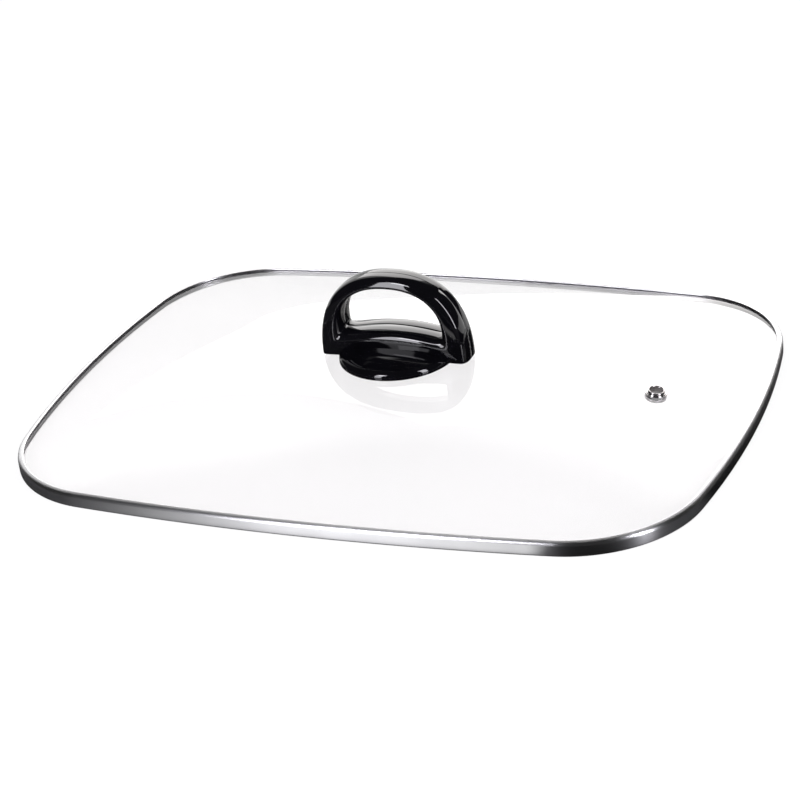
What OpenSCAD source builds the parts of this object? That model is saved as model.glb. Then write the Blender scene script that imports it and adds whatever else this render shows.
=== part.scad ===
// Domed glass lid of a rectangular table grill: a tempered pane in a rolled steel rim,
// with a loop handle in the middle and a steam vent at one end.
// The origin is at the middle of the lid, on the plane that its rim rests on.

/* [Outline] */
// Overall width of the lid, along X
lid_w = 400; // [340:1:460]
// Overall depth of the lid, along Y
lid_d = 298; // [250:1:350]
// Corner radius of the rim's outer face
corner_r = 68; // [50:1:90]
// Bow of the long sides between their corners
long_bow = 5.6; // [2:0.1:9]
// Bow of the short sides between their corners
short_bow = 5.6; // [2:0.1:9]

/* [Rim] */
// Height of the steel rim
rim_h = 8.2; // [7.4:0.1:11]
// Thickness of the steel strip
rim_t = 0.6; // [0.4:0.05:0.8]
// Width of the lip that holds the glass down, from the outer face
lip_w = 3.4; // [2.4:0.1:4.8]
// Width of the folded hem that the lid rests on, from the outer face
hem_w = 3; // [2.4:0.1:4.2]

/* [Glass] */
// Thickness of the glass, measured upright
glass_t = 4; // [3:0.1:4.8]
// Rise of the dome above the flat border of the glass
dome_rise = 23; // [14:0.5:32]
// Width of the flat border that the rim grips
border_w = 4.6; // [4:0.1:8]
// Play between the edge of the glass and the rim's wall
edge_play = 0.3; // [0.1:0.05:0.6]
// Play between a flat seal and the curved underside of the glass
seal_play = 0.1; // [0.06:0.01:0.25]

/* [Handle] */
// Width of the loop, along X
loop_w = 86.5; // [78:0.5:100]
// Height of the loop above its base
loop_h = 49.2; // [46:0.2:60]
// Height of the legs' undersides above the base
leg_clear = 1.2; // [0.4:0.1:2.4]
// Middle depth of the loop at its feet, along Y
foot_d = 21.5; // [18:0.1:25]
// Middle depth of the loop at its top, along Y
top_d = 17.2; // [13:0.2:20]
// Share by which the loop is deeper at its window and shallower outside
loop_taper = 0.15; // [0:0.01:0.25]
// Thickness of the loop at its top
grip_t = 6.9; // [5.5:0.1:10]
// Width of the finger window
window_w = 59; // [50:1:62]
// Height at which the window's sides turn into its arch
window_spring = 19.2; // [18.6:0.1:24]
// Height of the window's floor in the middle
saddle_h = 17.9; // [17:0.1:18.4]
// Height of the window's floor at its ends
floor_h = 13.8; // [12.5:0.1:16]
// Diameter of the round base
base_d = 66; // [58:1:74]
// Height of the base's upright edge
base_edge_h = 1; // [0.6:0.1:2]
// Radius of the base's shoulder
shoulder_r = 3.5; // [2.5:0.1:4.5]
// Radius of the base's domed top
base_dome_r = 110; // [90:1:140]
// Wall of the hollow base
base_wall = 3; // [2.4:0.1:3.4]
// Diameter of the boss that the screw pulls on
boss_d = 18; // [14:0.5:22]
// Thickness of the ribs between the boss and the base's edge
rib_t = 2; // [1.5:0.1:3]

/* [Handle fixing] */
// Diameter of the screw's thread
screw_d = 5; // [4:0.1:6]
// Length of thread that the insert holds
grip_l = 10; // [7:0.5:11]
// Outer diameter of the threaded insert
insert_d = 8; // [7:0.1:10]
// Length of the threaded insert
insert_l = 12; // [11.5:0.5:13]
// Diameter of the screw's head
head_d = 10; // [8.5:0.1:13]
// Height of the screw's head
head_h = 3.2; // [2.6:0.1:4]
// Width of the slots in the screw's cross recess
slot_w = 1.2; // [0.9:0.1:1.6]
// Length of the slots in the screw's cross recess
slot_l = 5.4; // [4:0.1:6.5]
// Depth of the screw's cross recess
slot_depth = 1.8; // [1.2:0.1:2.2]
// Diameter of the screw's washer
washer_d = 22; // [18:0.5:26]
// Thickness of the screw's washer
washer_t = 1.2; // [0.8:0.1:2]
// Diameter of the seal under the glass
seal_d = 20; // [16:0.5:24]
// Thickness of the seals above and below the glass
seal_t = 1.5; // [1:0.1:2]
// Diameter of the screw's hole in the glass
screw_hole_d = 9; // [8.2:0.1:12]
// Play of the screw in its seals and washer
screw_play = 0.2; // [0.1:0.05:0.4]
// Play of a seal's sleeve in its hole in the glass
sleeve_play = 0.15; // [0.1:0.05:0.3]

/* [Steam vent] */
// Distance of the vent from the end of the lid, along X
vent_inset = 54; // [40:1:80]
// Diameter of the vent's bore
vent_bore_d = 7.4; // [6:0.1:9]
// Wall of the eyelet
eyelet_wall = 0.6; // [0.4:0.05:0.9]
// Height of the eyelet's mouth above the glass
mouth_h = 2.2; // [1.8:0.1:3.5]
// Radius of the bead round the eyelet's mouth
bead_r = 0.5; // [0.35:0.05:0.7]
// Diameter of the step between the eyelet's mouth and its flange
step_d = 11; // [10:0.1:11.4]
// Height of that step above the glass
step_h = 1.2; // [0.9:0.05:1.5]
// Diameter of the eyelet's flange
flange_d = 12.4; // [12:0.1:15]
// Thickness of the eyelet's flange
flange_t = 0.5; // [0.4:0.05:0.7]
// Diameter of the grommet's flanges
grommet_d = 11.8; // [11:0.1:14]
// Thickness of the grommet's flanges
grommet_t = 0.3; // [0.2:0.05:0.5]
// Diameter of the vent's hole in the glass
vent_hole_d = 10; // [9.6:0.1:10.6]
// Diameter of the ring under the glass
vent_washer_d = 11.6; // [11.2:0.1:15]
// Thickness of the ring under the glass
vent_washer_t = 0.4; // [0.3:0.05:0.8]
// Diameter of the eyelet's rolled lower end
roll_d = 10.8; // [10:0.1:11]
// Thickness of the eyelet's rolled lower end
roll_t = 0.4; // [0.3:0.05:0.7]

/* [Hidden] */
$fn = 64;

// How far a cut runs past the face that it opens
cut_over = 1;
// Steps along a side, round a corner and from the dome's foot to its crown
side_steps = 10;
corner_steps = 14;
dome_steps = 12;
// Steps round the loop's arch, along its foot and round its section
arch_steps = 36;
foot_steps = 24;
section_steps = 20;
// Squareness of the loop's section, arch and feet, and of its window's arch and floor: 2 is an ellipse
section_square = 3.4;
arch_square = 2.4;
foot_square = 8;
window_square = 2.25;
floor_square = 6;
// How far the loop's feet run down before they are cut off flat
foot_depth = 3;
// Number of ribs in the base
rib_count = 4;

// Corner centres and the arcs of the bowed sides, on the rim's outer face
corner_x = lid_w / 2 - corner_r - short_bow;
corner_y = lid_d / 2 - corner_r - long_bow;
long_r = (corner_x ^ 2 + long_bow ^ 2) / (2 * long_bow);
short_r = (corner_y ^ 2 + short_bow ^ 2) / (2 * short_bow);
long_turn = asin(corner_x / long_r);
short_turn = asin(corner_y / short_r);
long_centre = corner_y + long_bow - long_r;
short_centre = corner_x + short_bow - short_r;

// Each arc of the outline: centre, radius, first angle, last angle, steps
outline_arcs = [
    [[short_centre, 0], short_r + corner_r, -short_turn, short_turn, side_steps],
    [[corner_x, corner_y], corner_r, short_turn, 90 - long_turn, corner_steps],
    [[0, long_centre], long_r + corner_r, 90 - long_turn, 90 + long_turn, side_steps],
    [[-corner_x, corner_y], corner_r, 90 + long_turn, 180 - short_turn, corner_steps],
    [[-short_centre, 0], short_r + corner_r, 180 - short_turn, 180 + short_turn, side_steps],
    [[-corner_x, -corner_y], corner_r, 180 + short_turn, 270 - long_turn, corner_steps],
    [[0, -long_centre], long_r + corner_r, 270 - long_turn, 270 + long_turn, side_steps],
    [[corner_x, -corner_y], corner_r, 270 + long_turn, 360 - short_turn, corner_steps]
];

// The glass: its edge, the foot of its dome, and the heights of its border and crown
glass_inset = rim_t + edge_play;
dome_inset = glass_inset + border_w;
dome_half_w = lid_w / 2 - dome_inset;
dome_half_d = lid_d / 2 - dome_inset;
border_z = rim_h - rim_t;
crown_z = border_z + dome_rise;

// The handle's base, which meets the glass at its wall's inner edge, its boss and the seals
base_z = crown_z - dome_rise * ((base_d / 2 - base_wall) / dome_half_w) ^ 2;
boss_z = crown_z + seal_t;
lower_seal_z = crown_z - glass_t - dome_rise * (seal_d / 2 / dome_half_d) ^ 2 - seal_play;
washer_z = lower_seal_z - seal_t - washer_t;
screw_tip_z = boss_z + grip_l;
window_top = loop_h - grip_t;

// The base's shoulder and the dome that meets it smoothly
shoulder_x = base_d / 2 - shoulder_r;
base_dome_z = base_edge_h - sqrt((base_dome_r - shoulder_r) ^ 2 - shoulder_x ^ 2);
shoulder_end_x = shoulder_x * base_dome_r / (base_dome_r - shoulder_r);

// The vent stands square to the glass
vent_x = lid_w / 2 - vent_inset;
vent_z = border_z + dome_rise * (1 - (vent_x / dome_half_w) ^ 2);
vent_tilt = atan(2 * dome_rise * vent_x / dome_half_w ^ 2);
vent_depth = glass_t * cos(vent_tilt) + seal_play;
eyelet_r = vent_bore_d / 2 + eyelet_wall;
vent_ring_z = -vent_depth - grommet_t - vent_washer_t;

function turn(angle) = [cos(angle), sin(angle)];
function signed_power(value, power) = sign(value) * abs(value) ^ power;

// Points of the lid's outline, moved inwards by an inset
function outline(inset) = [
    for (arc = outline_arcs)
        for (i = [0:arc[4] - 1])
            arc[0] + (arc[1] - inset) * turn(arc[2] + (arc[3] - arc[2]) * i / arc[4])
];

function raised(points, z) = [for (p = points) [p[0], p[1], z]];

// A ring of the dome at a share of the way out: an ellipse by the crown, the outline at the foot
function dome_ring(share) = [
    for (p = outline(dome_inset))
        let (on_ellipse = p / norm([p[0] / dome_half_w, p[1] / dome_half_d]))
            share * (share ^ 2 * p + (1 - share ^ 2) * on_ellipse)
];

// Rings of one face of the glass, from its edge to the last ring before the crown
function glass_rings(border_height) = concat(
    [raised(outline(glass_inset), border_height)],
    [
        for (i = [0:dome_steps - 1])
            let (share = 1 - i / dome_steps)
                raised(dome_ring(share), border_height + dome_rise * (1 - share ^ 2))
    ]
);

function flat_list(lists) = [for (list = lists) each list];

// Triangles between two neighbouring closed rings of count points
function band(first, second, count) = [
    for (i = [0:count - 1])
        let (j = (i + 1) % count)
            each [[first + i, second + i, first + j], [first + j, second + i, second + j]]
];

// Triangles from a closed ring to one point
function fan(ring, point, count) = [for (i = [0:count - 1]) [ring + i, point, ring + (i + 1) % count]];

function turned_over(faces) = [for (f = faces) [f[2], f[1], f[0]]];

module domed_pane() {
    count = len(outline(0));
    rings = dome_steps + 1;
    upper = flat_list(glass_rings(border_z));
    lower = flat_list(glass_rings(border_z - glass_t));
    under = count * rings;
    upper_crown = 2 * under;
    lower_crown = upper_crown + 1;
    points = concat(upper, lower, [[0, 0, crown_z], [0, 0, crown_z - glass_t]]);
    upper_faces = flat_list([for (k = [0:rings - 2]) band(k * count, (k + 1) * count, count)]);
    lower_faces = flat_list(
        [for (k = [0:rings - 2]) turned_over(band(under + k * count, under + (k + 1) * count, count))]
    );
    polyhedron(points, concat(
        upper_faces,
        fan((rings - 1) * count, upper_crown, count),
        lower_faces,
        turned_over(fan(under + (rings - 1) * count, lower_crown, count)),
        turned_over(band(0, under, count))
    ));
}

module at_vent() {
    translate([vent_x, 0, vent_z])
        rotate([0, vent_tilt, 0])
            children();
}

module glass_pane() {
    color([0.88, 0.93, 0.93, 0.45])
        difference() {
            domed_pane();
            translate([0, 0, crown_z - 2 * glass_t])
                cylinder(d = screw_hole_d, h = 3 * glass_t);
            at_vent()
                translate([0, 0, -2 * glass_t])
                    cylinder(d = vent_hole_d, h = 3 * glass_t);
        }
}

// A flat plate of the lid's outline, moved inwards by an inset
module outline_plate(inset, z, h) {
    translate([0, 0, z])
        linear_extrude(h)
            polygon(outline(inset));
}

// The strip is a wall with a lip over the glass, a hem below and a leg back up to the glass
module steel_rim() {
    color("silver")
        union() {
            difference() {
                outline_plate(0, 0, rim_h);
                outline_plate(rim_t, rim_t, border_z - rim_t);
                outline_plate(lip_w, rim_t, rim_h);
                outline_plate(hem_w, -cut_over, rim_h);
            }
            difference() {
                outline_plate(hem_w - rim_t, 0, border_z - glass_t);
                outline_plate(hem_w, -cut_over, rim_h);
            }
        }
}

// Outer line of the loop at an angle round it: an arch above, square feet below
function loop_outer(angle) =
    let (
        above = sin(angle) >= 0,
        power = 2 / (above ? arch_square : foot_square),
        reach = above ? loop_h : foot_depth
    )
        [loop_w / 2 * signed_power(cos(angle), power), reach * signed_power(sin(angle), power)];

// Line of the finger window: an arch above, a crowned floor below
function loop_inner(angle) = sin(angle) >= 0
    ? [
        window_w / 2 * signed_power(cos(angle), 2 / window_square),
        window_spring + (window_top - window_spring) * signed_power(sin(angle), 2 / window_square)
    ]
    : let (share = signed_power(cos(angle), 2 / floor_square))
        [
            window_w / 2 * share,
            window_spring + (window_spring - floor_h) * signed_power(sin(angle), 2 / floor_square)
                + (saddle_h - floor_h) * (1 - share ^ 2)
        ];

// Half the loop's depth at a height above its base
function loop_half_d(z) = (foot_d + (top_d - foot_d) * (z - leg_clear) / (loop_h - leg_clear)) / 2;

// Points round the loop's section at an angle round the loop
function loop_section(angle) = [
    for (i = [0:section_steps - 1])
        let (
            outer = loop_outer(angle),
            inner = loop_inner(angle),
            across = signed_power(cos(360 * i / section_steps), 2 / section_square),
            along = signed_power(sin(360 * i / section_steps), 2 / section_square),
            p = (outer + inner) / 2 + across * (outer - inner) / 2
        )
            [p[0], along * loop_half_d(p[1]) * (1 - loop_taper * across), p[1]]
];

// Angles round the loop, closer together in the middle of its foot
loop_angles = concat(
    [for (i = [0:arch_steps - 1]) 180 * i / arch_steps],
    [for (i = [0:foot_steps - 1]) 270 + 90 * signed_power(2 * i / foot_steps - 1, 2)]
);

module handle_loop() {
    stations = len(loop_angles);
    polyhedron(
        flat_list([for (angle = loop_angles) loop_section(angle)]),
        flat_list([
            for (k = [0:stations - 1])
                band(k * section_steps, (k + 1) % stations * section_steps, section_steps)
        ])
    );
}

module handle_base() {
    rotate_extrude() {
        intersection() {
            translate([0, base_dome_z])
                circle(base_dome_r, $fn = 360);
            square([shoulder_end_x, loop_h]);
        }
        intersection() {
            translate([shoulder_x, base_edge_h])
                circle(shoulder_r);
            square([base_d / 2, loop_h]);
        }
        square([base_d / 2, base_edge_h]);
    }
}

// The hollow under the base, round its boss and ribs
module base_hollow() {
    difference() {
        rotate_extrude()
            intersection() {
                translate([0, base_dome_z])
                    circle(base_dome_r - base_wall, $fn = 360);
                translate([0, -cut_over])
                    square([base_d / 2 - base_wall, loop_h]);
            }
        translate([0, 0, boss_z - base_z])
            cylinder(d = boss_d, h = loop_h);
        for (i = [0:rib_count - 1])
            rotate(360 * (i + 0.5) / rib_count)
                translate([0, -rib_t / 2, boss_z - base_z])
                    cube([base_d / 2, rib_t, loop_h]);
    }
}

module handle() {
    color([0.05, 0.05, 0.06])
        translate([0, 0, base_z])
            difference() {
                union() {
                    difference() {
                        handle_loop();
                        translate([-loop_w, -loop_w, leg_clear - loop_h])
                            cube([2 * loop_w, 2 * loop_w, loop_h]);
                    }
                    handle_base();
                }
                base_hollow();
                translate([0, 0, boss_z - base_z - cut_over])
                    cylinder(d = insert_d, h = insert_l + cut_over);
            }
}

// A flat ring from z upwards
module ring(outer_d, inner_d, z, h) {
    translate([0, 0, z])
        difference() {
            cylinder(d = outer_d, h = h);
            translate([0, 0, -cut_over])
                cylinder(d = inner_d, h = h + 2 * cut_over);
        }
}

module handle_insert() {
    color("goldenrod")
        ring(insert_d, screw_d, boss_z, insert_l);
}

module handle_screw() {
    color("lightgray")
        difference() {
            union() {
                translate([0, 0, washer_z])
                    cylinder(d = screw_d, h = screw_tip_z - washer_z);
                translate([0, 0, washer_z - head_h])
                    rotate_extrude() {
                        translate([0, head_h / 2])
                            square([head_d / 2, head_h / 2]);
                        square([head_d / 2 - head_h / 2, head_h / 2]);
                        intersection() {
                            translate([head_d / 2 - head_h / 2, head_h / 2])
                                circle(head_h / 2);
                            square([head_d / 2, head_h]);
                        }
                    }
            }
            for (angle = [0, 90])
                translate([0, 0, washer_z - head_h])
                    rotate(angle)
                        translate([-slot_l / 2, -slot_w / 2, -cut_over])
                            cube([slot_l, slot_w, slot_depth + cut_over]);
        }
}

module screw_washer() {
    color("lightgray")
        translate([0, 0, washer_z])
            rotate_extrude() {
                translate([screw_d / 2 + screw_play, 0])
                    square([(washer_d - washer_t - screw_d) / 2 - screw_play, washer_t]);
                translate([(washer_d - washer_t) / 2, washer_t / 2])
                    circle(washer_t / 2);
            }
}

// The seal under the handle's boss, with a sleeve that keeps the screw off the glass
module upper_seal() {
    color([0.82, 0.82, 0.82])
        union() {
            ring(boss_d, screw_d + 2 * screw_play, crown_z, seal_t);
            ring(
                screw_hole_d - 2 * sleeve_play, screw_d + 2 * screw_play,
                crown_z - glass_t, glass_t
            );
        }
}

module lower_seal() {
    color([0.82, 0.82, 0.82])
        ring(seal_d, screw_d + 2 * screw_play, lower_seal_z - seal_t, seal_t);
}

// Section of the eyelet: a stepped flange on the glass, a beaded mouth above and a roll below
module eyelet_section() {
    roll_z = vent_ring_z - roll_t;
    translate([vent_bore_d / 2, roll_z])
        square([eyelet_wall, mouth_h - bead_r - roll_z]);
    translate([vent_bore_d / 2 + bead_r, mouth_h - bead_r])
        circle(bead_r);
    translate([vent_bore_d / 2, grommet_t])
        square([(step_d - vent_bore_d) / 2, step_h - grommet_t]);
    translate([vent_bore_d / 2, grommet_t])
        square([(flange_d - flange_t - vent_bore_d) / 2, flange_t]);
    translate([(flange_d - flange_t) / 2, grommet_t + flange_t / 2])
        circle(flange_t / 2);
    translate([vent_bore_d / 2, roll_z])
        square([(roll_d - roll_t - vent_bore_d) / 2, roll_t]);
    translate([(roll_d - roll_t) / 2, roll_z + roll_t / 2])
        circle(roll_t / 2);
}

module vent_eyelet() {
    color("silver")
        at_vent()
            rotate_extrude()
                eyelet_section();
}

module vent_grommet() {
    color([0.82, 0.82, 0.82])
        at_vent()
            union() {
                ring(grommet_d, 2 * eyelet_r, 0, grommet_t);
                ring(vent_hole_d - 2 * sleeve_play, 2 * eyelet_r, -vent_depth, vent_depth);
                ring(grommet_d, 2 * eyelet_r, -vent_depth - grommet_t, grommet_t);
            }
}

module vent_washer() {
    color("silver")
        at_vent()
            ring(vent_washer_d, 2 * eyelet_r, vent_ring_z, vent_washer_t);
}

glass_pane();
steel_rim();
handle();
handle_insert();
handle_screw();
screw_washer();
upper_seal();
lower_seal();
vent_eyelet();
vent_grommet();
vent_washer();
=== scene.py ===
import math

import bmesh
import bpy
from mathutils import Matrix, Quaternion, Vector


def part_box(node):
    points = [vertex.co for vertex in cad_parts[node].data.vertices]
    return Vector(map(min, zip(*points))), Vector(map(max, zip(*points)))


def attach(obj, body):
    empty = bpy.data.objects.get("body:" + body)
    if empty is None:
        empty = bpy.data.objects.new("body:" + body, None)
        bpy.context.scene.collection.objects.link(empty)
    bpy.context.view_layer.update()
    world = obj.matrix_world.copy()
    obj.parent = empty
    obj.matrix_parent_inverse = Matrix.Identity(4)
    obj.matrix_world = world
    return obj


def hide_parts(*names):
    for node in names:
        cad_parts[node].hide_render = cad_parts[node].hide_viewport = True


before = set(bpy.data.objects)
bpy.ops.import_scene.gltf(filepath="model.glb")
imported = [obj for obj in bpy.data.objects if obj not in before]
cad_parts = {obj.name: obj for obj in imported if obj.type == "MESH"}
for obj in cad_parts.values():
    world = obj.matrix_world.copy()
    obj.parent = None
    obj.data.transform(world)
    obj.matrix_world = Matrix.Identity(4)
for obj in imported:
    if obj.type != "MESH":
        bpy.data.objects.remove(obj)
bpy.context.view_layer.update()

# Units and places taken from the frame
MM = 0.001
RIM_LOW, RIM_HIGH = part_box("steel_rim")
HANDLE_LOW, HANDLE_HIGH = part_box("handle")
LID_W = RIM_HIGH[0] - RIM_LOW[0]
LID_D = RIM_HIGH[1] - RIM_LOW[1]
RIM_H = RIM_HIGH[2] - RIM_LOW[2]
BASE_Z = HANDLE_LOW[2]
LOOP_H = HANDLE_HIGH[2] - HANDLE_LOW[2]
LOOP_W = HANDLE_HIGH[0] - HANDLE_LOW[0]

# Outline of the lid
CORNER_R = 68 * MM
BOW = 5.6 * MM
SIDE_STEPS = 40
CORNER_STEPS = 36

# Steel rim
RIM_T = 0.6 * MM
LIP_W = 3.4 * MM
HEM_W = 3.0 * MM
LIP_TILT = math.radians(14)
LIP_BEND_R = 1.8 * MM
CURL_R = 0.62 * MM
BEND_R = 0.9 * MM
BEND_STEPS = 8
RIM_SHARP = 60

# Glass
GLASS_T = 4 * MM
GLASS_INSET = 0.9 * MM
DOME_INSET = 5.5 * MM
DOME_RISE = 23 * MM
EDGE_ROUND = 1.2 * MM
BORDER_INSETS = (GLASS_INSET + EDGE_ROUND, LIP_W, LIP_W + 0.7 * MM, LIP_W + 1.4 * MM)
DOME_STEPS = 44
DOME_SPACING = 1.15
GLASS_SHARP = 35
SCREW_HOLE_D = 9 * MM
VENT_HOLE_D = 10 * MM
DRILL_REACH = 4 * GLASS_T

# Handle
LEG_CLEAR = 1.2 * MM
FOOT_D = 21.5 * MM
TOP_D = 17.2 * MM
LOOP_TAPER = 0.15
SADDLE_BOW = 0.16
GRIP_T = 6.9 * MM
WINDOW_W = 59 * MM
WINDOW_SPRING = 19.2 * MM
SADDLE_H = 17.9 * MM
FLOOR_H = 13.8 * MM
FOOT_DEPTH = 3 * MM
SECTION_SQUARE = 3.4
ARCH_SQUARE = 2.4
WINDOW_SQUARE = 2.25
FOOT_SQUARE = 8
FLOOR_SQUARE = 6
PART_LINE_W = 0.6 * MM
PART_LINE_DEPTH = 0.2 * MM
BASE_D = 66 * MM
BASE_EDGE_H = 1 * MM
SHOULDER_R = 3.5 * MM
BASE_DOME_R = 110 * MM
BASE_WALL = 3 * MM
ARCH_STEPS = 120
FOOT_STEPS = 72
SECTION_STEPS = 48
BASE_STEPS = 40
SHOULDER_STEPS = 20
HOLLOW_STEPS = 24
BASE_TURN_STEPS = 192
HANDLE_SHARP = 32

# Steam vent
VENT_X = 146 * MM
VENT_BORE_R = 3.7 * MM
EYELET_WALL = 0.6 * MM
MOUTH_H = 2.2 * MM
BEAD_R = 0.5 * MM
STEP_R = 5.5 * MM
STEP_H = 1.2 * MM
STEP_ROUND = 0.2 * MM
FLANGE_R = 6.2 * MM
FLANGE_T = 0.5 * MM
GROMMET_T = 0.3 * MM
VENT_RING_T = 0.4 * MM
ROLL_R = 5.4 * MM
ROLL_T = 0.4 * MM
ROLL_IN_R = 0.4 * MM
SEAL_PLAY = 0.1 * MM
ROLL_STEPS = 10
FLANGE_STEPS = 12
ROUND_STEPS = 6
BEAD_STEPS = 16
EYELET_TURN_STEPS = 128
EYELET_SHARP = 50

# Turned forms
TURN_STEPS = 96
AXIS_R = 0.01 * MM
CROWN_ANGLE = 89.99

# Camera, as the photograph was taken
IMAGE_SIDE = 800
FOCAL_PIXELS = 2516.7
SENSOR = 36
AZIMUTH = math.radians(24.19)
ELEVATION = math.radians(26.97)
ROLL = math.radians(-6.95)
PAN_PIXELS = 3.3
TILT_PIXELS = -10.8
DISTANCE = 1.3963
TARGET = Vector((0, 0, 7.78 * MM))

# Derived sizes
BORDER_Z = RIM_H - RIM_T
CROWN_Z = BORDER_Z + DOME_RISE
DOME_HALF_W = LID_W / 2 - DOME_INSET
DOME_HALF_D = LID_D / 2 - DOME_INSET
CORNER_X = LID_W / 2 - CORNER_R - BOW
CORNER_Y = LID_D / 2 - CORNER_R - BOW
LONG_R = (CORNER_X ** 2 + BOW ** 2) / (2 * BOW)
SHORT_R = (CORNER_Y ** 2 + BOW ** 2) / (2 * BOW)
LONG_TURN = math.asin(CORNER_X / LONG_R)
SHORT_TURN = math.asin(CORNER_Y / SHORT_R)
VENT_Z = BORDER_Z + DOME_RISE * (1 - (VENT_X / DOME_HALF_W) ** 2)
VENT_TILT = math.atan(2 * DOME_RISE * VENT_X / DOME_HALF_W ** 2)
VENT_DEPTH = GLASS_T * math.cos(VENT_TILT) + SEAL_PLAY
VENT_FRAME = Matrix.Translation((VENT_X, 0, VENT_Z)) @ Matrix.Rotation(VENT_TILT, 4, "Y")


def signed_power(value, power):
    return math.copysign(abs(value) ** power, value)


def outline_arcs():
    """Centre, radius, first and last angle and steps of each arc of the rim's outer face."""
    long_y = CORNER_Y + BOW - LONG_R
    short_x = CORNER_X + BOW - SHORT_R
    quarter, half = math.pi / 2, math.pi
    long_r, short_r = LONG_R + CORNER_R, SHORT_R + CORNER_R
    return [
        (short_x, 0, short_r, -SHORT_TURN, SHORT_TURN, SIDE_STEPS),
        (CORNER_X, CORNER_Y, CORNER_R, SHORT_TURN, quarter - LONG_TURN, CORNER_STEPS),
        (0, long_y, long_r, quarter - LONG_TURN, quarter + LONG_TURN, SIDE_STEPS),
        (-CORNER_X, CORNER_Y, CORNER_R, quarter + LONG_TURN, half - SHORT_TURN, CORNER_STEPS),
        (-short_x, 0, short_r, half - SHORT_TURN, half + SHORT_TURN, SIDE_STEPS),
        (-CORNER_X, -CORNER_Y, CORNER_R, half + SHORT_TURN, 3 * quarter - LONG_TURN, CORNER_STEPS),
        (0, -long_y, long_r, 3 * quarter - LONG_TURN, 3 * quarter + LONG_TURN, SIDE_STEPS),
        (CORNER_X, -CORNER_Y, CORNER_R, 3 * quarter + LONG_TURN, 2 * half - SHORT_TURN, CORNER_STEPS),
    ]


def outline(inset):
    """Points of the lid's outline, moved inwards by an inset."""
    points = []
    for x, y, radius, first, last, steps in outline_arcs():
        for i in range(steps):
            angle = first + (last - first) * i / steps
            reach = radius - inset
            points.append((x + reach * math.cos(angle), y + reach * math.sin(angle)))
    return points


def raised(points, z):
    return [(x, y, z) for x, y in points]


def new_object(name, mesh):
    piece = bpy.data.objects.new(name, mesh)
    bpy.context.scene.collection.objects.link(piece)
    return piece


def loft(name, rings, closed=True, caps=False):
    """A mesh through rings of as many points each, with u along a ring and v from ring to ring in metres."""
    count = len(rings[0])
    mesh = bmesh.new()
    layer = mesh.loops.layers.uv.new("UVMap")
    rows = [[mesh.verts.new(p) for p in ring] for ring in rings]
    along = [0.0]
    for i in range(count):
        step = Vector(rings[0][(i + 1) % count]) - Vector(rings[0][i])
        along.append(along[-1] + step.length)
    up = [0.0]
    for k in range(len(rings)):
        step = Vector(rings[(k + 1) % len(rings)][0]) - Vector(rings[k][0])
        up.append(up[-1] + step.length)
    for k in range(len(rings) if closed else len(rings) - 1):
        here, there = rows[k], rows[(k + 1) % len(rings)]
        for i in range(count):
            j = (i + 1) % count
            face = mesh.faces.new((here[i], here[j], there[j], there[i]))
            corners = ((i, k), (i + 1, k), (i + 1, k + 1), (i, k + 1))
            for loop, (a, b) in zip(face.loops, corners):
                loop[layer].uv = (along[a], up[b])
    if caps:
        mesh.faces.new(rows[0])
        mesh.faces.new(rows[-1])
    bmesh.ops.recalc_face_normals(mesh, faces=mesh.faces)
    data = bpy.data.meshes.new(name)
    mesh.to_mesh(data)
    mesh.free()
    return new_object(name, data)


def lathe(name, profile, place, steps=TURN_STEPS):
    """A closed profile of (radius, height) turned about the Z axis of a place."""
    rings = []
    for radius, height in profile:
        ring = []
        for i in range(steps):
            angle = 2 * math.pi * i / steps
            ring.append(place @ Vector((radius * math.cos(angle), radius * math.sin(angle), height)))
        rings.append(ring)
    return loft(name, rings)


def smooth(piece, sharp_angle):
    """Smooth shading, with the edges over an angle in degrees left sharp."""
    piece.data.shade_smooth()
    piece.data.set_sharp_from_angle(angle=math.radians(sharp_angle))


def settled(piece):
    """Puts a piece's modifiers into its mesh."""
    depsgraph = bpy.context.evaluated_depsgraph_get()
    mesh = bpy.data.meshes.new_from_object(piece.evaluated_get(depsgraph))
    piece.modifiers.clear()
    piece.data = mesh


def combine(piece, tool, operation):
    """Joins or cuts a piece with a tool object, which is then deleted."""
    step = piece.modifiers.new(operation, "BOOLEAN")
    step.operation = operation
    step.solver = "EXACT"
    step.object = tool
    settled(piece)
    bpy.data.objects.remove(tool)


def dress(piece, node, material):
    """Puts a piece in the place of a CAD node."""
    piece.data.materials.clear()
    piece.data.materials.append(material)
    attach(piece, "root")
    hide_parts(node)


def arc(centre, radius, first, last, steps):
    """Points of an arc in a profile, in degrees, both ends included."""
    points = []
    for i in range(steps + 1):
        angle = math.radians(first + (last - first) * i / steps)
        points.append((centre[0] + radius * math.cos(angle), centre[1] + radius * math.sin(angle)))
    return points


# Glass


def dome_ring(share):
    """A ring of the dome at a share of the way out: an ellipse by the crown, the outline at the foot."""
    ring = []
    for x, y in outline(DOME_INSET):
        reach = math.hypot(x / DOME_HALF_W, y / DOME_HALF_D)
        stretch = share * (share ** 2 + (1 - share ** 2) / reach)
        ring.append((x * stretch, y * stretch))
    return ring


def border_fall(inset):
    """How far the border of the glass falls away outside the foot of the dome, to seat the tilted lip."""
    return max(DOME_INSET - inset, 0) * math.tan(LIP_TILT)


def glass_face(z):
    """Rings of one face of the glass from its edge to just short of the crown."""
    rings = []
    for inset in BORDER_INSETS:
        rings.append(raised(outline(inset), z - border_fall(inset)))
    for i in range(DOME_STEPS):
        share = (1 - i / DOME_STEPS) ** DOME_SPACING
        rings.append(raised(dome_ring(share), z + DOME_RISE * (1 - share ** 2)))
    return rings


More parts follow.
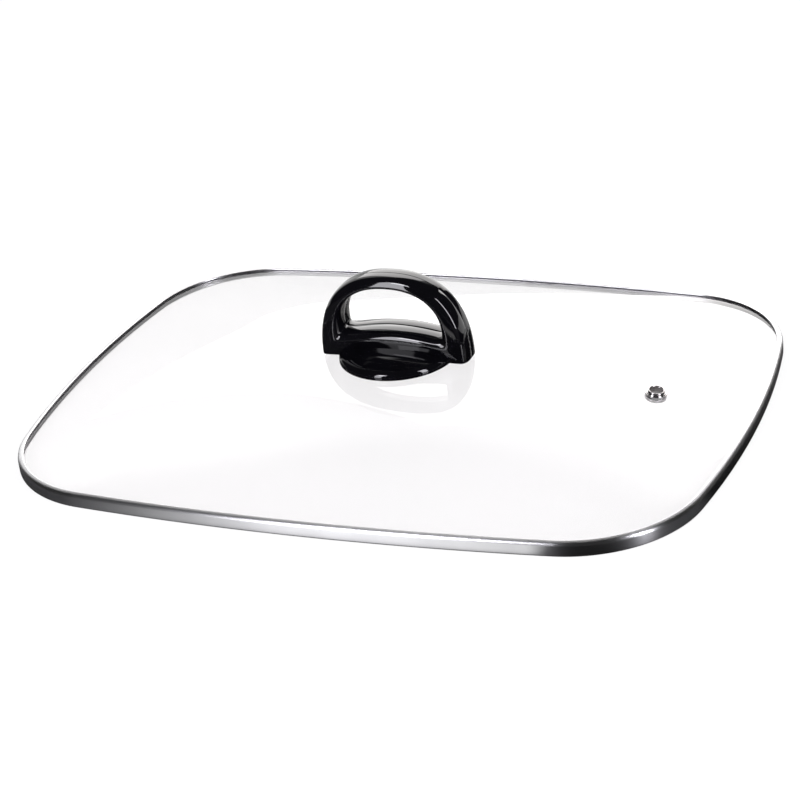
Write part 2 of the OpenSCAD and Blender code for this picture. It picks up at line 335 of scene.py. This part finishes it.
def glass_edge():
    """Rings round the ground edge of the glass, from below to above."""
    middle = BORDER_Z - GLASS_T / 2 - border_fall(GLASS_INSET + EDGE_ROUND)
    rings = []
    for i in range(1, BEND_STEPS):
        angle = math.pi * (i / BEND_STEPS - 0.5)
        inset = GLASS_INSET + EDGE_ROUND * (1 - math.cos(angle))
        rings.append(raised(outline(inset), middle + GLASS_T / 2 * math.sin(angle)))
    return rings


def drill(piece, name, diameter, place):
    """Cuts a round hole along the Z axis of a place."""
    radius = diameter / 2
    tool = [(AXIS_R, -DRILL_REACH), (radius, -DRILL_REACH), (radius, DRILL_REACH), (AXIS_R, DRILL_REACH)]
    combine(piece, lathe(name, tool, place), "DIFFERENCE")


def make_glass():
    lower = glass_face(BORDER_Z - GLASS_T)
    upper = glass_face(BORDER_Z)
    rings = lower[::-1] + glass_edge() + upper
    piece = loft("lid_glass", rings, closed=False, caps=True)
    drill(piece, "screw_hole", SCREW_HOLE_D, Matrix.Translation((0, 0, CROWN_Z)))
    drill(piece, "vent_hole", VENT_HOLE_D, VENT_FRAME)
    smooth(piece, GLASS_SHARP)
    return piece


# Steel rim


def curl_centre():
    """Centre of the curl along the lip's inner edge, which rests on the glass."""
    inset = LIP_W - CURL_R
    return inset, BORDER_Z - border_fall(inset) + CURL_R / math.cos(LIP_TILT)


def strip_line():
    """Middle line of the rolled strip as (inset, height), with its three bends."""
    half = RIM_T / 2
    curl_x, curl_z = curl_centre()
    lip_x = curl_x - (CURL_R - half) * math.sin(LIP_TILT)
    lip_z = curl_z + (CURL_R - half) * math.cos(LIP_TILT)
    bend_x = half + LIP_BEND_R
    bend_z = lip_z - (lip_x - bend_x) * math.tan(LIP_TILT) - LIP_BEND_R / math.cos(LIP_TILT)
    inner = HEM_W - half
    line = [(lip_x, lip_z)]
    line += arc((bend_x, bend_z), LIP_BEND_R, 90 + math.degrees(LIP_TILT), 180, BEND_STEPS)
    line += arc((half + BEND_R, half + BEND_R), BEND_R, 180, 270, BEND_STEPS)
    line += arc((inner - BEND_R, half + BEND_R), BEND_R, 270, 360, BEND_STEPS)
    line.append((inner, BORDER_Z - GLASS_T - border_fall(inner - half) - half))
    return line


def strip_profile():
    """Closed outline of the strip round its middle line, with a curled lip and a round lower edge."""
    line = strip_line()
    half = RIM_T / 2
    outside, inside = [], []
    for i, point in enumerate(line):
        before = Vector(line[max(i - 1, 0)])
        after = Vector(line[min(i + 1, len(line) - 1)])
        way = (after - before).normalized()
        side = Vector((way.y, -way.x)) * half
        outside.append(tuple(Vector(point) + side))
        inside.append(tuple(Vector(point) - side))
    tilt = math.degrees(LIP_TILT)
    leg_edge = arc(line[-1], half, 0, 180, BEND_STEPS)[1:-1]
    curl = arc(curl_centre(), CURL_R, 180 + tilt, 450 + tilt, 3 * BEND_STEPS)[:-1]
    return outside + leg_edge + inside[:0:-1] + curl


def make_rim():
    rings = [raised(outline(inset), z) for inset, z in strip_profile()]
    piece = loft("lid_rim", rings)
    smooth(piece, RIM_SHARP)
    return piece


# Handle


def loop_outer(angle):
    """Outer line of the loop at an angle round it: an arch above, square feet below."""
    above = math.sin(angle) >= 0
    power = 2 / (ARCH_SQUARE if above else FOOT_SQUARE)
    reach = LOOP_H if above else FOOT_DEPTH
    return Vector((
        LOOP_W / 2 * signed_power(math.cos(angle), power),
        reach * signed_power(math.sin(angle), power),
    ))


def loop_inner(angle):
    """Line of the finger window: an arch above, a crowned floor below."""
    if math.sin(angle) >= 0:
        power = 2 / WINDOW_SQUARE
        rise = LOOP_H - GRIP_T - WINDOW_SPRING
        return Vector((
            WINDOW_W / 2 * signed_power(math.cos(angle), power),
            WINDOW_SPRING + rise * signed_power(math.sin(angle), power),
        ))
    share = signed_power(math.cos(angle), 2 / FLOOR_SQUARE)
    drop = (WINDOW_SPRING - FLOOR_H) * signed_power(math.sin(angle), 2 / FLOOR_SQUARE)
    crown = (SADDLE_H - FLOOR_H) * (1 - share ** 2)
    return Vector((WINDOW_W / 2 * share, WINDOW_SPRING + drop + crown))


def loop_half_depth(z):
    return (FOOT_D + (TOP_D - FOOT_D) * (z - LEG_CLEAR) / (LOOP_H - LEG_CLEAR)) / 2


def loop_angles():
    """Angles round the loop, closer together in the middle of its foot."""
    arch = [math.pi * i / ARCH_STEPS for i in range(ARCH_STEPS)]
    foot = [1.5 * math.pi + math.pi / 2 * signed_power(2 * i / FOOT_STEPS - 1, 2) for i in range(FOOT_STEPS)]
    return arch + foot


def section_shape():
    """Points round the loop's section as (across, along, depth of the mould line there)."""
    edge = (PART_LINE_W / TOP_D) ** (SECTION_SQUARE / 2)
    angles = []
    for side in (0, math.pi):
        angles += [side - edge, side, side + edge]
        angles += [side + math.pi * i / (SECTION_STEPS / 2) for i in range(1, SECTION_STEPS // 2)]
    shape = []
    for angle in sorted(angles):
        across = signed_power(math.cos(angle), 2 / SECTION_SQUARE)
        along = signed_power(math.sin(angle), 2 / SECTION_SQUARE)
        dip = PART_LINE_DEPTH if angle in (0, math.pi) else 0
        shape.append((across, along, dip))
    return shape


def make_loop():
    rings = []
    for angle in loop_angles():
        outer, inner = loop_outer(angle), loop_inner(angle)
        taper = LOOP_TAPER
        if math.sin(angle) < 0:
            taper += SADDLE_BOW * (1 - (2 * inner.x / WINDOW_W) ** 2)
        middle, half = (outer + inner) / 2, (outer - inner) / 2
        ring = []
        for across, along, dip in section_shape():
            point = middle + half * across * (1 - dip / half.length)
            depth = along * loop_half_depth(point.y) * (1 - taper * across)
            ring.append((point.x, depth, BASE_Z + point.y))
        rings.append(ring)
    piece = loft("handle_loop", rings)
    mesh = bmesh.new()
    mesh.from_mesh(piece.data)
    cut = bmesh.ops.bisect_plane(
        mesh,
        geom=mesh.verts[:] + mesh.edges[:] + mesh.faces[:],
        plane_co=(0, 0, BASE_Z + LEG_CLEAR),
        plane_no=(0, 0, 1),
        clear_inner=True,
    )
    edges = [e for e in cut["geom_cut"] if isinstance(e, bmesh.types.BMEdge)]
    bmesh.ops.holes_fill(mesh, edges=edges)
    bmesh.ops.recalc_face_normals(mesh, faces=mesh.faces)
    mesh.to_mesh(piece.data)
    mesh.free()
    return piece


def base_profile():
    """Closed section of the hollow round base as (radius, height above the glass)."""
    shoulder_x = BASE_D / 2 - SHOULDER_R
    dome_z = BASE_EDGE_H - math.sqrt((BASE_DOME_R - SHOULDER_R) ** 2 - shoulder_x ** 2)
    end_x = shoulder_x * BASE_DOME_R / (BASE_DOME_R - SHOULDER_R)
    meet = math.degrees(math.acos(end_x / BASE_DOME_R))
    profile = arc((0, dome_z), BASE_DOME_R, CROWN_ANGLE, meet, BASE_STEPS)
    profile += arc((shoulder_x, BASE_EDGE_H), SHOULDER_R, meet, 0, SHOULDER_STEPS)[1:]
    profile += [(BASE_D / 2, 0), (BASE_D / 2 - BASE_WALL, 0)]
    inside = math.degrees(math.acos((BASE_D / 2 - BASE_WALL) / (BASE_DOME_R - BASE_WALL)))
    profile += arc((0, dome_z), BASE_DOME_R - BASE_WALL, inside, CROWN_ANGLE, HOLLOW_STEPS)
    return profile


def make_handle():
    piece = make_loop()
    piece.name = "grip_handle"
    base = lathe("handle_base", base_profile(), Matrix.Translation((0, 0, BASE_Z)), BASE_TURN_STEPS)
    combine(piece, base, "UNION")
    smooth(piece, HANDLE_SHARP)
    return piece


# Steam vent


def eyelet_profile():
    """Closed section of the eyelet: a roll below, a stepped flange on the glass, a beaded mouth above."""
    bore, outer = VENT_BORE_R, VENT_BORE_R + EYELET_WALL
    roll_z = -VENT_DEPTH - GROMMET_T - VENT_RING_T - ROLL_T
    bead = (bore + BEAD_R, MOUTH_H - BEAD_R)
    flange = (FLANGE_R - FLANGE_T / 2, GROMMET_T + FLANGE_T / 2)
    roll = (ROLL_R - ROLL_T / 2, roll_z + ROLL_T / 2)
    profile = arc(roll, ROLL_T / 2, -90, 90, ROLL_STEPS)
    profile += [(outer, roll_z + ROLL_T), (outer, GROMMET_T)]
    profile += arc(flange, FLANGE_T / 2, -90, 90, FLANGE_STEPS)
    profile += [(STEP_R, GROMMET_T + FLANGE_T)]
    profile += arc((STEP_R - STEP_ROUND, STEP_H - STEP_ROUND), STEP_ROUND, 0, 90, ROUND_STEPS)
    profile += arc((outer + STEP_ROUND, STEP_H + STEP_ROUND), STEP_ROUND, 270, 180, ROUND_STEPS)
    profile += arc(bead, BEAD_R, -60, 180, BEAD_STEPS)
    profile += [(bore, roll_z + ROLL_IN_R)]
    profile += arc((bore + ROLL_IN_R, roll_z + ROLL_IN_R), ROLL_IN_R, 180, 270, ROUND_STEPS)[1:]
    return profile


def make_eyelet():
    piece = lathe("vent_collar", eyelet_profile(), VENT_FRAME, EYELET_TURN_STEPS)
    smooth(piece, EYELET_SHARP)
    return piece


# Materials


class Shader:
    """The node tree of a material or world, with short calls for its nodes and links."""

    def __init__(self, owner, output="OutputMaterial"):
        owner.use_nodes = True
        self.owner = owner
        self.tree = owner.node_tree
        self.tree.nodes.clear()
        self.output = self.tree.nodes.new("ShaderNode" + output)

    def feed(self, socket, value):
        if isinstance(value, bpy.types.NodeSocket):
            self.tree.links.new(value, socket)
        else:
            socket.default_value = value

    def node(self, kind, **inputs):
        made = self.tree.nodes.new("ShaderNode" + kind)
        for name, value in inputs.items():
            self.feed(made.inputs[name.replace("_", " ")], value)
        return made

    def math(self, operation, first, second):
        made = self.node("Math")
        made.operation = operation
        self.feed(made.inputs[0], first)
        self.feed(made.inputs[1], second)
        return made.outputs["Value"]

    def vector(self, operation, first, second):
        made = self.node("VectorMath")
        made.operation = operation
        self.feed(made.inputs[0], first)
        self.feed(made.inputs[1], second)
        return made.outputs["Value"]

    def mixed(self, factor, first, second):
        made = self.node("MixShader", Fac=factor)
        self.feed(made.inputs[1], first)
        self.feed(made.inputs[2], second)
        return made.outputs["Shader"]

    def show(self, socket):
        self.feed(self.output.inputs["Surface"], socket)
        return self.owner

    def noise(self, scale, detail=4.0, stretch=(1, 1, 1), source="Object"):
        place = self.node("TexCoord").outputs[source]
        spread = self.node("Mapping", Vector=place, Scale=stretch)
        grain = self.node("TexNoise", Vector=spread.outputs["Vector"], Scale=scale, Detail=detail)
        return grain.outputs["Fac"]

    def ranged(self, value, low, high):
        """A value from 0 to 1, spread from low to high."""
        return self.node("MapRange", Value=value, To_Min=low, To_Max=high).outputs["Result"]

    def ramp(self, value, start, end):
        """A soft step from 0 at the start to 1 at the end."""
        made = self.node("MapRange", Value=value, From_Min=start, From_Max=end)
        made.interpolation_type = "SMOOTHSTEP"
        return made.outputs["Result"]

    def tinted(self, value, dark, light):
        """A colour between two, by a noise value that keeps near its middle."""
        ramp = self.node("ValToRGB", Fac=value)
        ramp.color_ramp.elements[0].color = (*dark, 1)
        ramp.color_ramp.elements[0].position = 0.3
        ramp.color_ramp.elements[1].color = (*light, 1)
        ramp.color_ramp.elements[1].position = 0.7
        return ramp.outputs["Color"]

    def bump(self, height, strength, distance):
        return self.node("Bump", Height=height, Strength=strength, Distance=distance).outputs["Normal"]


def new_shader(name):
    return Shader(bpy.data.materials.new(name))


def glass_material():
    """Clear glass with a trace of wiping marks, which lets most light through to the floor."""
    shader = new_shader("clear_glass")
    wipe = shader.noise(9.0, 3.0)
    body = shader.node(
        "BsdfPrincipled",
        Base_Color=shader.tinted(wipe, (0.986, 0.976, 0.981), (0.992, 0.984, 0.988)),
        Roughness=shader.ranged(wipe, 0.0, 0.012),
        IOR=1.38,
        Transmission_Weight=1.0,
    )
    clear = shader.node("BsdfTransparent", Color=(0.95, 0.94, 0.945, 1))
    in_shadow = shader.node("LightPath").outputs["Is Shadow Ray"]
    return shader.show(shader.mixed(in_shadow, body.outputs["BSDF"], clear.outputs["BSDF"]))


def steel_material(name, dark, light, rough, anisotropy):
    """Rolled steel with fine lines along the strip, where the mesh's u runs."""
    shader = new_shader(name)
    lines = shader.noise(1.0, 6.0, (5, 6000, 1), "UV")
    cloud = shader.noise(40.0, 4.0)
    body = shader.node(
        "BsdfPrincipled",
        Base_Color=shader.tinted(cloud, dark, light),
        Metallic=1.0,
        Roughness=shader.ranged(lines, *rough),
        Anisotropic=anisotropy,
        Anisotropic_Rotation=0.25,
        Normal=shader.bump(lines, 0.04, 0.02 * MM),
    )
    tangent = shader.node("Tangent")
    tangent.direction_type = "UV_MAP"
    tangent.uv_map = "UVMap"
    shader.feed(body.inputs["Tangent"], tangent.outputs["Tangent"])
    return shader.show(body.outputs["BSDF"])


def phenolic_material():
    """Glossy black moulding with a faint orange peel."""
    shader = new_shader("black_phenolic")
    peel = shader.noise(420.0, 2.0)
    cloud = shader.noise(60.0, 4.0)
    body = shader.node(
        "BsdfPrincipled",
        Base_Color=shader.tinted(cloud, (0.0022, 0.0021, 0.0030), (0.0036, 0.0034, 0.0050)),
        Roughness=shader.ranged(cloud, 0.03, 0.07),
        IOR=1.6,
        Normal=shader.bump(peel, 0.02, 0.05 * MM),
    )
    return shader.show(body.outputs["BSDF"])


def metal_material(name, dark, light, rough, scale):
    """Plain turned or stamped metal with fine wear."""
    shader = new_shader(name)
    wear = shader.noise(scale, 5.0)
    body = shader.node(
        "BsdfPrincipled",
        Base_Color=shader.tinted(wear, dark, light),
        Metallic=1.0,
        Roughness=shader.ranged(wear, *rough),
        Normal=shader.bump(wear, 0.03, 0.02 * MM),
    )
    return shader.show(body.outputs["BSDF"])


def silicone_material():
    """Translucent grey silicone with a fine grain."""
    shader = new_shader("grey_silicone")
    grain = shader.noise(900.0, 3.0)
    body = shader.node(
        "BsdfPrincipled",
        Base_Color=shader.tinted(grain, (0.90, 0.90, 0.90), (0.96, 0.96, 0.96)),
        Roughness=shader.ranged(grain, 0.3, 0.4),
        IOR=1.41,
        Transmission_Weight=0.8,
        Normal=shader.bump(grain, 0.1, 0.05 * MM),
    )
    return shader.show(body.outputs["BSDF"])


# Studio

# Floor as the camera sees it
FLOOR_SIDE = 12.0
FLOOR_DROP = 0.05 * MM
FLOOR_GREY = 0.2
FLOOR_GLOW = 0.86

# Floor as the lid mirrors it, a painted reflection of white patches and dim greys, in metres: each soft edge
# runs from where it is 0 to where it is 1
PAINTED_REFLECTION_GREYS = (0.105, 0.003)
PAINTED_REFLECTION_FADE = (-0.17, 0.11)
CORNER_REFLECTION_GREY = 0.1
CORNER_REFLECTION_X = (0.178, 0.188)
CORNER_REFLECTION_Y = (-0.065, -0.085)
PAINTED_BACKDROP_REFLECTION = (0.146, 0.154)
PAINTED_PATCH_LEFT = (-0.16, 0.02)
PAINTED_PATCH_RIGHT = (0.131, 0.117)
PAINTED_PATCH_BACK = (0.0, 0.0035)
PAINTED_PATCH_FRONT = (0.10, 0.05)
VENT_REFLECTION_SPOT = (45 * MM, 35 * MM)
VENT_REFLECTION_GLOW = 0.3

# World: the fill on the object, and the room and its white back wall as the lid mirrors them
FILL_LEVEL = 0.4
ROOM_GREY = 0.02
WALL_ABOVE = (0.73, -0.79, 1.0)
WALL_SOFT = 0.08
WALL_ENDS = (0.4, 0.55)
WALL_RIGHT = (0.3, 0.15)
WALL_LEVEL = 0.95

# Lamps: a panel behind, and strips as name, azimuth, elevation, size and radiance
PANEL_PLACE = Vector((-0.5, 2.0, 0.96))
PANEL_SIZE = (2.3, 1.6)
PANEL_TURN = math.radians(36)
PANEL_LEVEL = 2.2
PANEL_COLOUR = (1.0, 0.975, 0.965)
STRIP_FAR = 1.6
STRIP_COLOUR = (0.95, 0.94, 1.0)
STRIPS = [
    ("left_strip", -20, 23, (0.36, 1.29), 7.0),
    ("left_head", -15, 38, (0.36, 0.36), 9.0),
    ("right_strip", 68, 24, (0.32, 1.35), 9.0),
]


def ray_kinds(shader):
    """Whether a ray has been mirrored, and whether it comes from the camera, also through glass."""
    path = shader.node("LightPath")
    mirrored = shader.math("GREATER_THAN", path.outputs["Glossy Depth"], 0.5)
    unscattered = shader.math("LESS_THAN", path.outputs["Diffuse Depth"], 0.5)
    through = shader.math("MULTIPLY", path.outputs["Is Transmission Ray"], unscattered)
    return mirrored, shader.math("MAXIMUM", path.outputs["Is Camera Ray"], through)


def floor_place(shader):
    """A place on the floor, and its x and y."""
    place = shader.node("TexCoord").outputs["Object"]
    spot = shader.node("SeparateXYZ", Vector=place)
    return place, spot.outputs["X"], spot.outputs["Y"]


def painted_reflection_white(shader):
    """Painted reflection: how white the lid mirrors the floor, from 0 to 1, with white painted behind it, on
    a patch in front of it and in a glowing spot under the vent.
    """
    place, x, y = floor_place(shader)
    # Painted white patch on the floor in front of the lid, seen only in reflections.
    across = shader.math("MULTIPLY", shader.ramp(x, *PAINTED_PATCH_LEFT), shader.ramp(x, *PAINTED_PATCH_RIGHT))
    bowed = shader.math("MULTIPLY", shader.math("MULTIPLY", x, x), BOW / CORNER_X ** 2)
    ahead = shader.math("SUBTRACT", shader.math("SUBTRACT", bowed, y), LID_D / 2)
    deep = shader.math("MULTIPLY", shader.ramp(ahead, *PAINTED_PATCH_BACK), shader.ramp(ahead, *PAINTED_PATCH_FRONT))
    painted_patch = shader.math("MULTIPLY", across, deep)
    # Painted glow on the floor under the vent, seen only in reflections, which lightens the inside of the
    # bore.
    off_vent = shader.vector("DISTANCE", place, (VENT_X, 0, 0))
    vent = shader.math("MULTIPLY", shader.ramp(off_vent, *VENT_REFLECTION_SPOT), VENT_REFLECTION_GLOW)
    # Painted white on the floor behind the lid, seen only in reflections.
    behind = shader.ramp(y, *PAINTED_BACKDROP_REFLECTION)
    return shader.math("MAXIMUM", shader.math("MAXIMUM", behind, painted_patch), vent)


def painted_reflection_grey(shader):
    """Painted reflection grey of the floor where the lid mirrors it dim: paler on the left, and by the right
    front corner.
    """
    _, x, y = floor_place(shader)
    # Painted reflection grey, seen only in reflections: dark, paler towards the left, with a paler patch by
    # the right front corner.
    faded = shader.ranged(shader.ramp(x, *PAINTED_REFLECTION_FADE), *PAINTED_REFLECTION_GREYS)
    corner = shader.math("MULTIPLY", shader.ramp(x, *CORNER_REFLECTION_X), shader.ramp(y, *CORNER_REFLECTION_Y))
    return shader.math("ADD", faded, shader.math("MULTIPLY", corner, CORNER_REFLECTION_GREY))


def make_floor():
    """A pale floor with the lid's shadow on it, which the lid mirrors as a painted reflection: white in
    places and dim elsewhere.
    """
    half = FLOOR_SIDE / 2
    corners = [(-half, -half, 0), (half, -half, 0), (half, half, 0), (-half, half, 0)]
    mesh = bpy.data.meshes.new("floor")
    mesh.from_pydata(corners, [], [(0, 1, 2, 3)])
    floor = new_object("floor", mesh)
    floor.location.z = -FLOOR_DROP
    shader = new_shader("floor_white")
    mirrored, seen = ray_kinds(shader)
    diffuse = shader.node("BsdfDiffuse", Color=(FLOOR_GREY, FLOOR_GREY, FLOOR_GREY, 1))
    glow = shader.node("Emission", Strength=shader.math("MULTIPLY", seen, FLOOR_GLOW))
    white = shader.node("AddShader")
    shader.feed(white.inputs[0], diffuse.outputs["BSDF"])
    shader.feed(white.inputs[1], glow.outputs["Emission"])
    dim = shader.node("BsdfDiffuse", Color=painted_reflection_grey(shader))
    bright = shader.node("Emission", Strength=1.0)
    # In reflections the floor shows this painted reflection in place of its own shading.
    painted_reflection_floor = shader.mixed(painted_reflection_white(shader), dim.outputs["BSDF"], bright.outputs["Emission"])
    mesh.materials.append(shader.show(shader.mixed(mirrored, white.outputs["Shader"], painted_reflection_floor)))


def back_wall(shader):
    """Where a mirrored ray meets the white wall behind the lid, from 0 to 1, below a slanting upper edge."""
    way = shader.node("TexCoord").outputs["Generated"]
    over = shader.vector("DOT_PRODUCT", way, WALL_ABOVE)
    below = shader.ramp(over, WALL_SOFT, -WALL_SOFT)
    towards = shader.node("SeparateXYZ", Vector=way)
    back = shader.ramp(towards.outputs["Y"], *WALL_ENDS)
    left = shader.ramp(towards.outputs["X"], *WALL_RIGHT)
    return shader.math("MULTIPLY", below, shader.math("MULTIPLY", back, left))


def make_world():
    """White behind the object, a soft fill on it, and a white wall in a dim room in its reflections."""
    world = bpy.data.worlds.new("studio")
    shader = Shader(world, "OutputWorld")
    mirrored, seen = ray_kinds(shader)
    white = shader.node("Background", Strength=1.0)
    fill = shader.node("Background", Strength=FILL_LEVEL)
    room = shader.node("Background", Strength=shader.ranged(back_wall(shader), ROOM_GREY, WALL_LEVEL))
    for light in (white, fill, room):
        light.inputs["Color"].default_value = (1, 1, 1, 1)
    unmirrored = shader.mixed(seen, fill.outputs["Background"], white.outputs["Background"])
    shader.show(shader.mixed(mirrored, unmirrored, room.outputs["Background"]))
    bpy.context.scene.world = world


def around(azimuth, elevation, distance):
    """A point round the lid: azimuth 0 is in front, 90 at the +X end."""
    a, e = math.radians(azimuth), math.radians(elevation)
    return Vector((math.sin(a) * math.cos(e), -math.cos(a) * math.cos(e), math.sin(e))) * distance


def soft_box(name, place, aim, size, radiance, colour, turn=0):
    """A flat lamp that faces a point, of the radiance that its face shows."""
    lamp = bpy.data.lights.new(name, "AREA")
    lamp.shape = "RECTANGLE"
    lamp.size, lamp.size_y = size
    lamp.energy = radiance * math.pi * size[0] * size[1]
    lamp.color = colour
    holder = bpy.data.objects.new(name, lamp)
    holder.location = place
    facing = (place - aim).to_track_quat("Z", "Y") @ Quaternion((0, 0, 1), turn)
    holder.rotation_euler = facing.to_euler()
    holder.visible_camera = False
    holder.visible_transmission = False
    bpy.context.scene.collection.objects.link(holder)


def make_lights():
    middle = Vector((0, 0, 0))
    panel_aim = Vector((PANEL_PLACE.x, 0, PANEL_PLACE.z))
    soft_box("back_panel", PANEL_PLACE, panel_aim, PANEL_SIZE, PANEL_LEVEL, PANEL_COLOUR, PANEL_TURN)
    for name, azimuth, elevation, size, level in STRIPS:
        soft_box(name, around(azimuth, elevation, STRIP_FAR), middle, size, level, STRIP_COLOUR)


def make_camera():
    lens = bpy.data.cameras.new("camera")
    lens.sensor_width = SENSOR
    lens.lens = SENSOR * FOCAL_PIXELS / IMAGE_SIDE
    camera = bpy.data.objects.new("camera", lens)
    back = around(math.degrees(AZIMUTH), math.degrees(ELEVATION), 1)
    right = Vector((math.cos(AZIMUTH), math.sin(AZIMUTH), 0))
    up = back.cross(right)
    facing = Matrix((right, up, back)).transposed()
    facing = facing @ Matrix.Rotation(ROLL, 3, "Z")
    facing = facing @ Matrix.Rotation(math.atan2(PAN_PIXELS, FOCAL_PIXELS), 3, "Y")
    facing = facing @ Matrix.Rotation(math.atan2(TILT_PIXELS, FOCAL_PIXELS), 3, "X")
    camera.matrix_world = Matrix.Translation(TARGET + back * DISTANCE) @ facing.to_4x4()
    bpy.context.scene.collection.objects.link(camera)
    bpy.context.scene.camera = camera


def paint(node, material):
    """Gives a CAD node that stays visible its material."""
    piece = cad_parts[node]
    piece.data.materials.clear()
    piece.data.materials.append(material)


rim_steel = steel_material(
    "rim_steel",
    dark=(0.66, 0.66, 0.67),
    light=(0.74, 0.74, 0.75),
    rough=(0.26, 0.34),
    anisotropy=0.9,
)
vent_steel = metal_material(
    "vent_steel",
    dark=(0.66, 0.64, 0.64),
    light=(0.74, 0.72, 0.72),
    rough=(0.14, 0.22),
    scale=300.0,
)
fastener_steel = metal_material(
    "fastener_steel",
    dark=(0.48, 0.48, 0.48),
    light=(0.60, 0.60, 0.60),
    rough=(0.22, 0.38),
    scale=500.0,
)
insert_brass = metal_material(
    "insert_brass",
    dark=(0.62, 0.45, 0.20),
    light=(0.72, 0.54, 0.26),
    rough=(0.22, 0.36),
    scale=500.0,
)
silicone = silicone_material()

dress(make_glass(), "glass_pane", glass_material())
dress(make_rim(), "steel_rim", rim_steel)
dress(make_handle(), "handle", phenolic_material())
dress(make_eyelet(), "vent_eyelet", vent_steel)
paint("handle_insert", insert_brass)
paint("handle_screw", fastener_steel)
paint("screw_washer", fastener_steel)
paint("vent_washer", vent_steel)
for seal in ("upper_seal", "lower_seal", "vent_grommet"):
    paint(seal, silicone)

make_floor()
make_world()
make_lights()
make_camera()
bpy.context.scene.view_settings.view_transform = "Standard"
